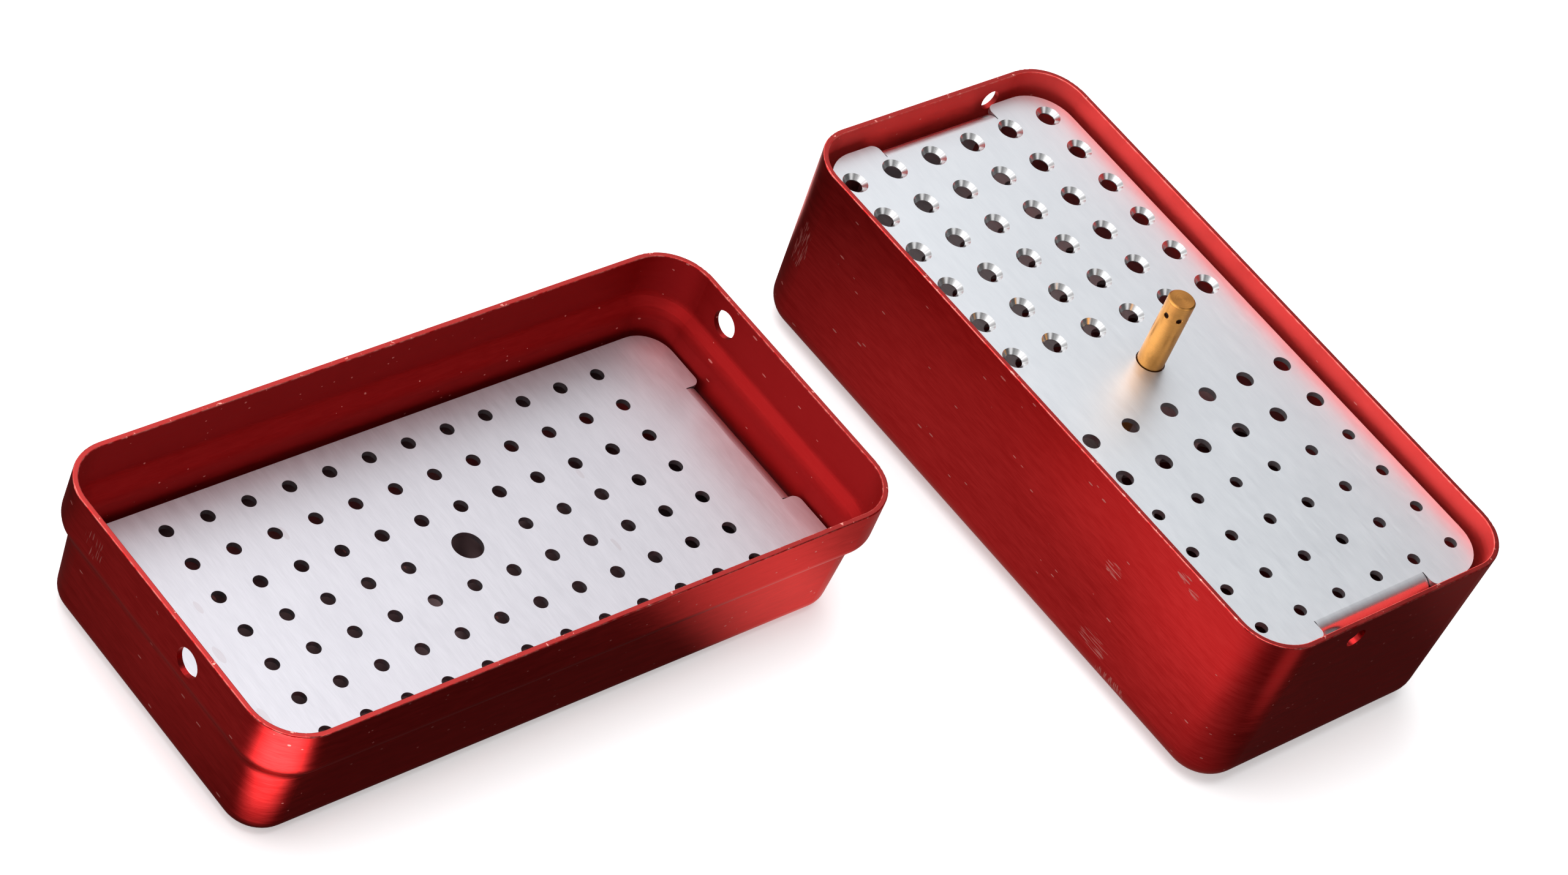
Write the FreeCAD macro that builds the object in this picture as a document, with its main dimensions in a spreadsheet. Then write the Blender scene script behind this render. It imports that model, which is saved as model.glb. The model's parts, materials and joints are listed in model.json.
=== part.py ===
import FreeCAD, Part
import math
import os
import Sketcher
from FreeCAD import Placement, Rotation, Vector

# Endodontic file box: an open base with its file rack, and the lid lying beside it, open side up.
# Millimetres. Origin at the centre of the base's underside, +Z up, the long side of the base along Y.

os.makedirs("parts", exist_ok=True)
doc = FreeCAD.newDocument("EndodonticFileBox")
dims = doc.addObject("Spreadsheet::Sheet", "Dims")

# Driving dimensions
driving_dimensions = (
    # Base: a drawn tub whose walls lean inwards towards the floor
    ("base_width", 61.5),
    ("base_length", 128.0),
    ("base_height", 38.5),
    ("base_wall", 1.0),
    ("base_draft", 3.0),
    ("base_corner_radius", 9.5),
    ("base_floor_radius", 5.5),
    ("rim_rounding", 0.2),
    ("base_vent_diameter", 4.0),
    ("base_vent_below_rim", 4.5),
    # Vents of the base and of the lid share these offsets, so they meet one way round only
    ("near_vent_offset", 8.5),
    ("far_vent_offset", 16.0),
    # Sheet of the file plate, the guide plate and the lid plate
    ("sheet_thickness", 1.0),
    ("sheet_bend_radius", 3.0),
    ("leg_width", 27.0),
    ("leg_relief", 0.2),
    ("leg_shoulder_radius", 1.5),
    ("leg_wall_gap", 0.25),
    ("foot_length", 9.0),
    ("floor_gap", 0.1),
    # File plate
    ("plate_below_rim", 4.0),
    ("plate_wall_gap", 1.4),
    ("plate_corner_radius", 8.0),
    # The grids of holes fill the plate up to these margins, measured to the outer holes' centres
    ("plate_side_margin", 4.4),
    ("plate_end_margin", 6.3),
    ("middle_gap", 20.7),
    ("column_count", 6),
    ("seat_rows", 6),
    ("seat_diameter", 4.75),
    ("seat_bore", 3.1),
    ("seat_angle", 90.0),
    ("large_rows", 2),
    ("large_bore", 3.3),
    ("small_rows", 4),
    ("small_bore", 2.4),
    # Guide plate
    ("guide_height", 16.0),
    ("guide_wall_gap", 1.5),
    ("guide_end_gap", 0.3),
    ("guide_corner_radius", 6.0),
    ("guide_bore", 3.6),
    ("tab_width", 12.0),
    ("tab_gap", 0.1),
    # Lifting post, its washer and its nut
    ("post_diameter", 5.0),
    ("post_above_plate", 15.5),
    ("post_edge", 0.3),
    ("post_plate_gap", 0.2),
    ("dimple_below_top", 3.1),
    ("dimple_count", 6),
    ("dimple_radius", 0.8),
    ("dimple_depth", 0.3),
    ("stud_diameter", 3.0),
    ("stud_gap", 0.1),
    ("stud_end", 1.1),
    ("washer_diameter", 7.0),
    ("washer_thickness", 0.5),
    ("nut_width", 5.5),
    ("nut_height", 2.4),
    # Lid
    ("lid_height", 28.0),
    ("lid_wall", 1.0),
    ("lid_base_gap", 0.4),
    ("lid_draft", 3.0),
    ("skirt_height", 9.0),
    ("skirt_corner_radius", 9.5),
    ("joggle_height", 3.0),
    ("joggle_step", 2.2),
    ("joggle_radius", 3.0),
    ("lid_closed_radius", 3.5),
    ("lid_vent_diameter", 5.2),
    ("lid_vent_below_rim", 4.8),
    # Lid plate
    ("lid_plate_below_rim", 16.0),
    ("lid_plate_side_gap", 1.1),
    ("lid_plate_end_gap", 0.5),
    ("lid_plate_corner_radius", 6.0),
    ("lid_hole_bore", 2.6),
    ("lid_plate_side_margin", 5.15),
    ("lid_plate_end_margin", 16.4),
    ("lid_column_count", 12),
    ("lid_side_rows", 3),
    ("lid_post_hole_gap", 0.3),
    # Where the lid lies
    ("lid_beside_base", 27.0),
    ("lid_towards_far_end", 28.0),
)
for row, (alias, value) in enumerate(driving_dimensions, start=1):
    dims.set("A%d" % row, alias.replace("_", " "))
    dims.set("B%d" % row, str(value))
    dims.setAlias("B%d" % row, alias)
doc.recompute()
aliases = {alias for alias, value in driving_dimensions}


def sized(formula):
    """The formula with each dimension's name pointing at the sheet."""
    words = []
    word = ""
    for letter in formula + " ":
        if letter.isalnum() or letter == "_":
            word += letter
            continue
        words.append("Dims." + word if word in aliases else word)
        words.append(letter)
        word = ""
    return "".join(words).strip()


def value_of(formula):
    """The present value of a formula, in millimetres."""
    return float(dims.evalExpression(sized(formula)))


def bind(item, property_name, formula):
    item.setExpression(property_name, sized(formula))


# Sizes that several pieces share, as formulas of the driving dimensions
base_plate_top = "(base_height - plate_below_rim)"
base_inner_half_width = "(base_width / 2 - base_wall)"
base_inner_half_length = "(base_length / 2 - base_wall)"
plate_half_width = "(%s - plate_below_rim * tan(base_draft) - plate_wall_gap)" % base_inner_half_width
plate_half_length = "(%s - plate_below_rim * tan(base_draft) - plate_wall_gap)" % base_inner_half_length
base_foot_radius = "(base_floor_radius - base_wall - floor_gap)"
base_leg_face = (
    "(%s - (base_height - base_floor_radius) * tan(base_draft) - leg_wall_gap)" % base_inner_half_length
)
first_row = "(middle_gap / 2)"
first_column = "(%s - plate_side_margin)" % plate_half_width
column_pitch = "(2 * %s / (column_count - 1))" % first_column
row_pitch = "((%s - plate_end_margin - %s) / (seat_rows - 1))" % (plate_half_length, first_row)
small_first_row = "(%s + %s * large_rows)" % (first_row, row_pitch)
post_hole_radius = "(post_diameter / 2 + post_plate_gap)"
stud_hole_radius = "(stud_diameter / 2 + stud_gap)"
skirt_half_width = "(base_width / 2 + lid_base_gap + lid_wall)"
skirt_half_length = "(base_length / 2 + lid_base_gap + lid_wall)"
lid_body_height = "(lid_height - skirt_height - joggle_height)"
lid_body_half_width = "(%s - joggle_step)" % skirt_half_width
lid_body_half_length = "(%s - joggle_step)" % skirt_half_length
lid_plate_top = "(lid_height - lid_plate_below_rim)"
lid_lean_at_plate = "((%s - %s) * tan(lid_draft))" % (lid_body_height, lid_plate_top)
lid_plate_half_width = (
    "(%s - %s - lid_wall - lid_plate_side_gap)" % (lid_body_half_width, lid_lean_at_plate)
)
lid_plate_half_length = (
    "(%s - %s - lid_wall - lid_plate_end_gap)" % (lid_body_half_length, lid_lean_at_plate)
)
lid_foot_radius = "(lid_closed_radius - lid_wall - floor_gap)"
lid_leg_face = "(%s - (%s - lid_closed_radius) * tan(lid_draft) - lid_wall - leg_wall_gap)" % (
    lid_body_half_length,
    lid_body_height,
)
lid_first_column = "(%s - lid_plate_end_margin)" % lid_plate_half_length
lid_column_pitch = "(2 * %s / (lid_column_count - 1))" % lid_first_column
lid_row_pitch = "((%s - lid_plate_side_margin) / lid_side_rows)" % lid_plate_half_width
lid_middle_columns = "(lid_column_count / 2 - 1)"


def new_body(label):
    body = doc.addObject("PartDesign::Body", label)
    body.Label = label
    return body


def origin_part(body, role):
    return next(part for part in body.Origin.OriginFeatures if part.Role == role)


def new_sketch(body, name, role, offset="0"):
    """A sketch on one of the body's own planes, moved out along the plane's normal."""
    sketch = body.newObject("Sketcher::SketchObject", name)
    sketch.AttachmentSupport = [(origin_part(body, role), "")]
    sketch.MapMode = "FlatFace"
    bind(sketch, "AttachmentOffset.Base.z", offset)
    return sketch


def add_dimension(sketch, kind, places, formula):
    """One sketch dimension, bound to its formula."""
    index = sketch.addConstraint(Sketcher.Constraint(kind, *places, value_of(formula)))
    bind(sketch, "Constraints[%d]" % index, formula)


def rounded_rectangle(sketch, half_width, half_length, radius):
    """A centred rectangle whose four corners are equal arcs."""
    across = value_of(half_width)
    along = value_of(half_length)
    bend = value_of(radius)
    flat_across = across - bend
    flat_along = along - bend
    corners = (
        (flat_across, -flat_along, 270),
        (flat_across, flat_along, 0),
        (-flat_across, flat_along, 90),
        (-flat_across, -flat_along, 180),
    )
    sketch.addGeometry(
        [
            Part.LineSegment(Vector(-flat_across, -along, 0), Vector(flat_across, -along, 0)),
            Part.LineSegment(Vector(across, -flat_along, 0), Vector(across, flat_along, 0)),
            Part.LineSegment(Vector(flat_across, along, 0), Vector(-flat_across, along, 0)),
            Part.LineSegment(Vector(-across, flat_along, 0), Vector(-across, -flat_along, 0)),
        ]
    )
    for centre_x, centre_y, start in corners:
        circle = Part.Circle(Vector(centre_x, centre_y, 0), Vector(0, 0, 1), bend)
        sketch.addGeometry(Part.ArcOfCircle(circle, math.radians(start), math.radians(start + 90)))
    for side in range(4):
        corner = side + 4
        sketch.addConstraint(Sketcher.Constraint("Vertical" if side % 2 else "Horizontal", side))
        sketch.addConstraint(Sketcher.Constraint("Tangent", side, 2, corner, 1))
        sketch.addConstraint(Sketcher.Constraint("Tangent", corner, 2, (side + 1) % 4, 1))
    for corner in (5, 6, 7):
        sketch.addConstraint(Sketcher.Constraint("Equal", 4, corner))
    sketch.addConstraint(Sketcher.Constraint("Symmetric", 0, 1, 2, 1, -1, 1))
    add_dimension(sketch, "DistanceX", (3, 1, 1, 1), "2 * " + half_width)
    add_dimension(sketch, "DistanceY", (0, 1, 2, 1), "2 * " + half_length)
    add_dimension(sketch, "Radius", (4,), radius)


def square_outline(sketch, corners):
    """A closed outline of level and upright lines through the corners, each line located by its formula."""
    places = [Vector(value_of(across), value_of(up), 0) for across, up in corners]
    count = len(corners)
    for index in range(count):
        sketch.addGeometry(Part.LineSegment(places[index], places[(index + 1) % count]))
    for index in range(count):
        following = (index + 1) % count
        sketch.addConstraint(Sketcher.Constraint("Coincident", index, 2, following, 1))
        if corners[index][0] == corners[following][0]:
            sketch.addConstraint(Sketcher.Constraint("Vertical", index))
            add_dimension(sketch, "DistanceX", (-1, 1, index, 1), corners[index][0])
        else:
            sketch.addConstraint(Sketcher.Constraint("Horizontal", index))
            add_dimension(sketch, "DistanceY", (-1, 1, index, 1), corners[index][1])


def circle_at(sketch, across, up, radius):
    """A circle located by its centre's two formulas."""
    centre = Vector(value_of(across), value_of(up), 0)
    index = sketch.addGeometry(Part.Circle(centre, Vector(0, 0, 1), value_of(radius)))
    add_dimension(sketch, "DistanceX", (-1, 1, index, 3), across)
    add_dimension(sketch, "DistanceY", (-1, 1, index, 3), up)
    add_dimension(sketch, "Radius", (index,), radius)


def pad(body, name, sketch, length, downwards=False, centred=False):
    feature = body.newObject("PartDesign::Pad", name)
    feature.Profile = sketch
    bind(feature, "Length", length)
    feature.Reversed = downwards
    if centred:
        feature.SideType = "Symmetric"
    doc.recompute()
    return feature


def cut_through(body, name, sketch, backwards=False, both_ways=False):
    """A pocket through everything on one side of the sketch, or on both."""
    before = body.Shape.Volume
    feature = body.newObject("PartDesign::Pocket", name)
    feature.Profile = sketch
    feature.Type = "ThroughAll"
    feature.Reversed = backwards
    if both_ways:
        feature.SideType = "Symmetric"
    doc.recompute()
    if body.Shape.Volume >= before:
        raise RuntimeError(name + " cuts nothing")
    return feature


def punch(body, name, sketch):
    """A pocket through the sheet below the sketch, but not through the feet under it."""
    before = body.Shape.Volume
    feature = body.newObject("PartDesign::Pocket", name)
    feature.Profile = sketch
    bind(feature, "Length", "2 * sheet_thickness")
    doc.recompute()
    if body.Shape.Volume >= before:
        raise RuntimeError(name + " cuts nothing")
    return feature


def grid(body, name, original, sketch, across_pitch, across_count, along_pitch, along_count):
    """The feature repeated across the plate, and each time along it."""
    pattern = body.newObject("PartDesign::LinearPattern", name)
    pattern.Originals = [original]
    pattern.Direction = (sketch, ["H_Axis"])
    bind(pattern, "Length", "%s * (%s - 1)" % (across_pitch, across_count))
    bind(pattern, "Occurrences", across_count)
    pattern.Direction2 = (sketch, ["V_Axis"])
    bind(pattern, "Length2", "%s * (%s - 1)" % (along_pitch, along_count))
    bind(pattern, "Occurrences2", along_count)
    body.Tip = pattern
    doc.recompute()
    return pattern


def mirrored(body, name, originals, role):
    """The features repeated on the other side of one of the body's own planes."""
    mirror = body.newObject("PartDesign::Mirrored", name)
    mirror.Originals = originals
    mirror.MirrorPlane = (origin_part(body, role), [""])
    body.Tip = mirror
    doc.recompute()
    return mirror


def faces_where(shape, test):
    return ["Face%d" % index for index, face in enumerate(shape.Faces, start=1) if test(face.BoundBox)]


def edges_where(shape, test):
    return ["Edge%d" % index for index, edge in enumerate(shape.Edges, start=1) if test(edge.BoundBox)]


def near(one, other):
    return abs(one - other) < 1e-4


def draft_walls(body, name, base, faces, angle, neutral):
    """The walls leaning about the neutral plane, narrower away from it."""
    feature = body.newObject("PartDesign::Draft", name)
    feature.Base = (base, faces)
    bind(feature, "Angle", angle)
    feature.NeutralPlane = neutral
    feature.Reversed = True
    doc.recompute()
    return feature


def round_edges(body, name, base, names, radius):
    feature = body.newObject("PartDesign::Fillet", name)
    feature.Base = (base, names)
    bind(feature, "Radius", radius)
    doc.recompute()
    return feature


def hollow(body, name, base, open_faces, wall):
    """The solid turned into a shell of even thickness, open at the given faces."""
    feature = body.newObject("PartDesign::Thickness", name)
    feature.Base = (base, open_faces)
    bind(feature, "Value", wall)
    feature.Reversed = True
    doc.recompute()
    return feature


def vent(body, name, across, height, diameter, far_end):
    """A round hole through one end wall only."""
    sketch = new_sketch(body, name + "_place", "XZ_Plane")
    circle_at(sketch, across, height, diameter + " / 2")
    cut_through(body, name, sketch, backwards=not far_end)


# Base shell
base_shell = new_body("base_shell")
sketch = new_sketch(base_shell, "base_rim_outline", "XY_Plane", "base_height")
rounded_rectangle(sketch, "base_width / 2", "base_length / 2", "base_corner_radius")
blank = pad(base_shell, "base_blank", sketch, "base_height", downwards=True)
top = value_of("base_height")
rim_face = faces_where(blank.Shape, lambda box: near(box.ZMin, top))
walls = faces_where(blank.Shape, lambda box: box.ZLength > top / 2)
leaning = draft_walls(base_shell, "base_lean", blank, walls, "base_draft", (blank, rim_face))
floor_face = faces_where(leaning.Shape, lambda box: near(box.ZMax, 0))
rounded = round_edges(base_shell, "base_floor_edge", leaning, floor_face, "base_floor_radius")
rim_face = faces_where(rounded.Shape, lambda box: near(box.ZMin, top))
shell = hollow(base_shell, "base_hollow", rounded, rim_face, "base_wall")
rim_edges = edges_where(shell.Shape, lambda box: near(box.ZMin, top))
round_edges(base_shell, "base_rim_edge", shell, rim_edges, "rim_rounding")
vent_height = "(base_height - base_vent_below_rim)"
vent(base_shell, "base_near_vent", "-near_vent_offset", vent_height, "base_vent_diameter", False)
vent(base_shell, "base_far_vent", "far_vent_offset", vent_height, "base_vent_diameter", True)


def end_notched_plate(body, name, half_width, half_length, bend_start, tab_half_width, relief, top_height):
    """A flat plate; at each end its middle stops short, between two reliefs, where a leg bends down."""
    sketch = new_sketch(body, name + "_outline", "XY_Plane", top_height)
    notch = "(%s + %s)" % (tab_half_width, relief)
    square_outline(
        sketch,
        (
            ("-" + half_width, "-" + half_length),
            ("-" + notch, "-" + half_length),
            ("-" + notch, "-" + bend_start),
            (notch, "-" + bend_start),
            (notch, "-" + half_length),
            (half_width, "-" + half_length),
            (half_width, half_length),
            (notch, half_length),
            (notch, bend_start),
            ("-" + notch, bend_start),
            ("-" + notch, half_length),
            ("-" + half_width, half_length),
        ),
    )
    return pad(body, name, sketch, "sheet_thickness", downwards=True)


def bent_legs(body, name, leg_face, bend_start, top_height, foot_height, foot_radius):
    """A leg with an inward foot at each end, one sheet thick, with round bends."""
    sketch = new_sketch(body, name + "_profile", "YZ_Plane")
    inner_face = "(%s - sheet_thickness)" % leg_face
    toe = "(%s - foot_length)" % leg_face
    underside = "(%s - sheet_thickness)" % top_height
    foot_top = "(%s + sheet_thickness)" % foot_height
    square_outline(
        sketch,
        (
            (bend_start, top_height),
            (leg_face, top_height),
            (leg_face, foot_height),
            (toe, foot_height),
            (toe, foot_top),
            (inner_face, foot_top),
            (inner_face, underside),
            (bend_start, underside),
        ),
    )
    leg = pad(body, name, sketch, "leg_width", centred=True)
    pair = mirrored(body, name + "_pair", [leg], "XZ_Plane")

    def bend_edges(shape, along, height):
        span = value_of("leg_width")
        return edges_where(
            shape,
            lambda box: near(box.XLength, span)
            and near(max(abs(box.YMin), abs(box.YMax)), value_of(along))
            and near(box.ZMin, value_of(height))
            and near(box.ZLength, 0)
            and near(box.YLength, 0),
        )

    outer = round_edges(
        body, name + "_top_bend", pair, bend_edges(pair.Shape, leg_face, top_height), "sheet_bend_radius"
    )
    inner = round_edges(
        body,
        name + "_top_inside",
        outer,
        bend_edges(outer.Shape, inner_face, underside),
        "sheet_bend_radius - sheet_thickness",
    )
    lower = round_edges(
        body, name + "_foot_bend", inner, bend_edges(inner.Shape, leg_face, foot_height), foot_radius
    )
    return round_edges(
        body,
        name + "_foot_inside",
        lower,
        bend_edges(lower.Shape, inner_face, foot_top),
        "%s - sheet_thickness" % foot_radius,
    )


def corner_edges(shape, half_width, half_length):
    """The four upright corner edges of a plate."""
    return edges_where(
        shape,
        lambda box: near(max(abs(box.XMin), abs(box.XMax)), value_of(half_width))
        and near(box.XLength, 0)
        and near(max(abs(box.YMin), abs(box.YMax)), value_of(half_length))
        and near(box.YLength, 0)
        and box.ZLength > 0.5 * value_of("sheet_thickness"),
    )


# File plate: 36 countersunk seats at the far end, 12 large and 24 small bores at the near end
file_plate = new_body("file_plate")
bend_start = "(%s - sheet_bend_radius)" % base_leg_face
leg_shoulder = "(leg_width / 2 + leg_relief)"
flat = end_notched_plate(
    file_plate,
    "file_plate_flat",
    plate_half_width,
    plate_half_length,
    bend_start,
    "leg_width / 2",
    "leg_relief",
    base_plate_top,
)
rounded = round_edges(
    file_plate,
    "file_plate_corners",
    flat,
    corner_edges(flat.Shape, plate_half_width, plate_half_length),
    "plate_corner_radius",
)
round_edges(
    file_plate,
    "file_plate_shoulders",
    rounded,
    corner_edges(rounded.Shape, leg_shoulder, plate_half_length),
    "leg_shoulder_radius",
)
bent_legs(
    file_plate,
    "file_plate_leg",
    base_leg_face,
    bend_start,
    base_plate_top,
    "(base_wall + floor_gap)",
    base_foot_radius,
)
sketch = new_sketch(file_plate, "seat_place", "XY_Plane", base_plate_top)
circle_at(sketch, "-" + first_column, first_row, "seat_bore / 2")
doc.recompute()
before = file_plate.Shape.Volume
seat = file_plate.newObject("PartDesign::Hole", "seat")
seat.Profile = sketch
seat.DepthType = "Dimension"
seat.DrillPoint = "Flat"
bind(seat, "Depth", "2 * sheet_thickness")
bind(seat, "Diameter", "seat_bore")
seat.HoleCutType = "Countersink"
seat.HoleCutCustomValues = True
bind(seat, "HoleCutDiameter", "seat_diameter")
bind(seat, "HoleCutCountersinkAngle", "seat_angle")
doc.recompute()
if file_plate.Shape.Volume >= before:
    raise RuntimeError("the seat cuts nothing")
grid(file_plate, "seats", seat, sketch, column_pitch, "column_count", row_pitch, "seat_rows")
sketch = new_sketch(file_plate, "large_bore_place", "XY_Plane", base_plate_top)
large_last_row = "-%s - %s * (large_rows - 1)" % (first_row, row_pitch)
circle_at(sketch, "-" + first_column, large_last_row, "large_bore / 2")
bore = punch(file_plate, "large_bore", sketch)
grid(file_plate, "large_bores", bore, sketch, column_pitch, "column_count", row_pitch, "large_rows")
sketch = new_sketch(file_plate, "small_bore_place", "XY_Plane", base_plate_top)
small_last_row = "-%s - %s * (small_rows - 1)" % (small_first_row, row_pitch)
circle_at(sketch, "-" + first_column, small_last_row, "small_bore / 2")
bore = punch(file_plate, "small_bore", sketch)
grid(file_plate, "small_bores", bore, sketch, column_pitch, "column_count", row_pitch, "small_rows")
sketch = new_sketch(file_plate, "file_plate_post_place", "XY_Plane", base_plate_top)
circle_at(sketch, "0", "0", post_hole_radius)
punch(file_plate, "file_plate_post_hole", sketch)
sketch = new_sketch(file_plate, "tab_slot_outline", "XZ_Plane")
square_outline(
    sketch,
    (
        ("(-tab_width / 2 - tab_gap)", "(guide_height - sheet_thickness - tab_gap)"),
        ("(tab_width / 2 + tab_gap)", "(guide_height - sheet_thickness - tab_gap)"),
        ("(tab_width / 2 + tab_gap)", "(guide_height + tab_gap)"),
        ("(-tab_width / 2 - tab_gap)", "(guide_height + tab_gap)"),
    ),
)
cut_through(file_plate, "tab_slots", sketch, both_ways=True)

# Guide plate: hangs between the legs by a tab at each end and keeps the files upright
guide_plate = new_body("guide_plate")
guide_half_width = "(%s - (base_height - guide_height) * tan(base_draft) - guide_wall_gap)" % (
    base_inner_half_width
)
guide_half_length = "(%s - sheet_thickness - guide_end_gap)" % base_leg_face
sketch = new_sketch(guide_plate, "guide_plate_outline", "XY_Plane", "guide_height")
tab_end = "(%s - tab_gap)" % base_leg_face
square_outline(
    sketch,
    (
        ("-" + guide_half_width, "-" + guide_half_length),
        ("(-tab_width / 2)", "-" + guide_half_length),
        ("(-tab_width / 2)", "-" + tab_end),
        ("(tab_width / 2)", "-" + tab_end),
        ("(tab_width / 2)", "-" + guide_half_length),
        (guide_half_width, "-" + guide_half_length),
        (guide_half_width, guide_half_length),
        ("(tab_width / 2)", guide_half_length),
        ("(tab_width / 2)", tab_end),
        ("(-tab_width / 2)", tab_end),
        ("(-tab_width / 2)", guide_half_length),
        ("-" + guide_half_width, guide_half_length),
    ),
)
flat = pad(guide_plate, "guide_plate_flat", sketch, "sheet_thickness", downwards=True)
round_edges(
    guide_plate,
    "guide_plate_corners",
    flat,
    corner_edges(flat.Shape, guide_half_width, guide_half_length),
    "guide_corner_radius",
)
sketch = new_sketch(guide_plate, "guide_far_place", "XY_Plane", "guide_height")
circle_at(sketch, "-" + first_column, first_row, "guide_bore / 2")
bore = punch(guide_plate, "guide_far_bore", sketch)
grid(guide_plate, "guide_far_bores", bore, sketch, column_pitch, "column_count", row_pitch, "seat_rows")
sketch = new_sketch(guide_plate, "guide_near_place", "XY_Plane", "guide_height")
circle_at(sketch, "-" + first_column, small_last_row, "guide_bore / 2")
bore = punch(guide_plate, "guide_near_bore", sketch)
near_rows = "(large_rows + small_rows)"
grid(guide_plate, "guide_near_bores", bore, sketch, column_pitch, "column_count", row_pitch, near_rows)
sketch = new_sketch(guide_plate, "stud_hole_place", "XY_Plane", "guide_height")
circle_at(sketch, "0", "0", stud_hole_radius)
punch(guide_plate, "stud_hole", sketch)

# Lifting post: stands on the guide plate, and its threaded end goes through it
lifting_post = new_body("lifting_post")
post_top = "(%s + post_above_plate)" % base_plate_top
washer_top = "(guide_height - sheet_thickness)"
nut_top = "(%s - washer_thickness)" % washer_top
stud_bottom = "(%s - nut_height - stud_end)" % nut_top
sketch = new_sketch(lifting_post, "post_profile", "XZ_Plane")
square_outline(
    sketch,
    (
        ("0", stud_bottom),
        ("(stud_diameter / 2)", stud_bottom),
        ("(stud_diameter / 2)", "guide_height"),
        ("(post_diameter / 2)", "guide_height"),
        ("(post_diameter / 2)", post_top),
        ("0", post_top),
    ),
)
turned = lifting_post.newObject("PartDesign::Revolution", "post_turned")
turned.Profile = sketch
turned.ReferenceAxis = (sketch, ["V_Axis"])
turned.Angle = 360
doc.recompute()
end_edges = edges_where(
    turned.Shape,
    lambda box: near(box.ZMin, value_of(post_top)) or near(box.ZMax, value_of(stud_bottom)),
)
chamfer = lifting_post.newObject("PartDesign::Chamfer", "post_ends")
chamfer.Base = (turned, end_edges)
bind(chamfer, "Size", "post_edge")
doc.recompute()
before = lifting_post.Shape.Volume
dimple = lifting_post.newObject("PartDesign::SubtractiveSphere", "post_dimple")
bind(dimple, "Radius", "dimple_radius")
dimple.AttachmentSupport = [(origin_part(lifting_post, "XY_Plane"), "")]
dimple.MapMode = "FlatFace"
bind(dimple, "AttachmentOffset.Base.x", "post_diameter / 2 + dimple_radius - dimple_depth")
bind(dimple, "AttachmentOffset.Base.z", "%s - dimple_below_top" % post_top)
doc.recompute()
dimples = lifting_post.newObject("PartDesign::PolarPattern", "post_dimples")
dimples.Originals = [dimple]
dimples.Axis = (origin_part(lifting_post, "Z_Axis"), [""])
dimples.Angle = 360
bind(dimples, "Occurrences", "dimple_count")
lifting_post.Tip = dimples
doc.recompute()
if lifting_post.Shape.Volume >= before:
    raise RuntimeError("the dimples cut nothing")

# Washer under the guide plate
post_washer = new_body("post_washer")
sketch = new_sketch(post_washer, "washer_outline", "XY_Plane", washer_top)
circle_at(sketch, "0", "0", "washer_diameter / 2")
circle_at(sketch, "0", "0", stud_hole_radius)
pad(post_washer, "washer_flat", sketch, "washer_thickness", downwards=True)

# Nut below the washer
post_nut = new_body("post_nut")
sketch = new_sketch(post_nut, "nut_outline", "XY_Plane", nut_top)
nut_corner = "(nut_width / 2 / cos(30))"
corner_radius = value_of(nut_corner)
places = [
    Vector(corner_radius * math.cos(math.radians(60 * step)), corner_radius * math.sin(math.radians(60 * step)), 0)
    for step in range(6)
]
for step in range(6):
    sketch.addGeometry(Part.LineSegment(places[step], places[(step + 1) % 6]))
sketch.addGeometry(Part.Circle(Vector(0, 0, 0), Vector(0, 0, 1), corner_radius), True)
for step in range(6):
    sketch.addConstraint(Sketcher.Constraint("Coincident", step, 2, (step + 1) % 6, 1))
    sketch.addConstraint(Sketcher.Constraint("PointOnObject", step, 1, 6))
    if step:
        sketch.addConstraint(Sketcher.Constraint("Equal", 0, step))
sketch.addConstraint(Sketcher.Constraint("Coincident", 6, 3, -1, 1))
sketch.addConstraint(Sketcher.Constraint("PointOnObject", 0, 1, -1))
add_dimension(sketch, "Radius", (6,), nut_corner)
circle_at(sketch, "0", "0", "stud_diameter / 2")
prism = pad(post_nut, "nut_prism", sketch, "nut_height", downwards=True)
chamfer_profile = new_sketch(post_nut, "nut_edge_profile", "XZ_Plane")
nut_bottom = "(%s - nut_height)" % nut_top
across = value_of(nut_corner)
inner = value_of("nut_width / 2")
low = value_of(nut_bottom)
fall = (across - inner) * math.tan(math.radians(30))
chamfer_profile.addGeometry(
    [
        Part.LineSegment(Vector(inner, low, 0), Vector(across, low, 0)),
        Part.LineSegment(Vector(across, low, 0), Vector(across, low + fall, 0)),
        Part.LineSegment(Vector(across, low + fall, 0), Vector(inner, low, 0)),
    ]
)
for side in range(3):
    chamfer_profile.addConstraint(Sketcher.Constraint("Coincident", side, 2, (side + 1) % 3, 1))
chamfer_profile.addConstraint(Sketcher.Constraint("Horizontal", 0))
chamfer_profile.addConstraint(Sketcher.Constraint("Vertical", 1))
add_dimension(chamfer_profile, "DistanceX", (-1, 1, 0, 1), "nut_width / 2")
add_dimension(chamfer_profile, "DistanceX", (-1, 1, 0, 2), nut_corner)
add_dimension(chamfer_profile, "DistanceY", (-1, 1, 0, 1), nut_bottom)
add_dimension(chamfer_profile, "DistanceY", (1, 1, 1, 2), "(%s - nut_width / 2) * tan(30)" % nut_corner)
before = post_nut.Shape.Volume
groove = post_nut.newObject("PartDesign::Groove", "nut_edge")
groove.Profile = chamfer_profile
groove.ReferenceAxis = (chamfer_profile, ["V_Axis"])
groove.Angle = 360
doc.recompute()
if post_nut.Shape.Volume >= before:
    raise RuntimeError("the nut's edge cuts nothing")

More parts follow.
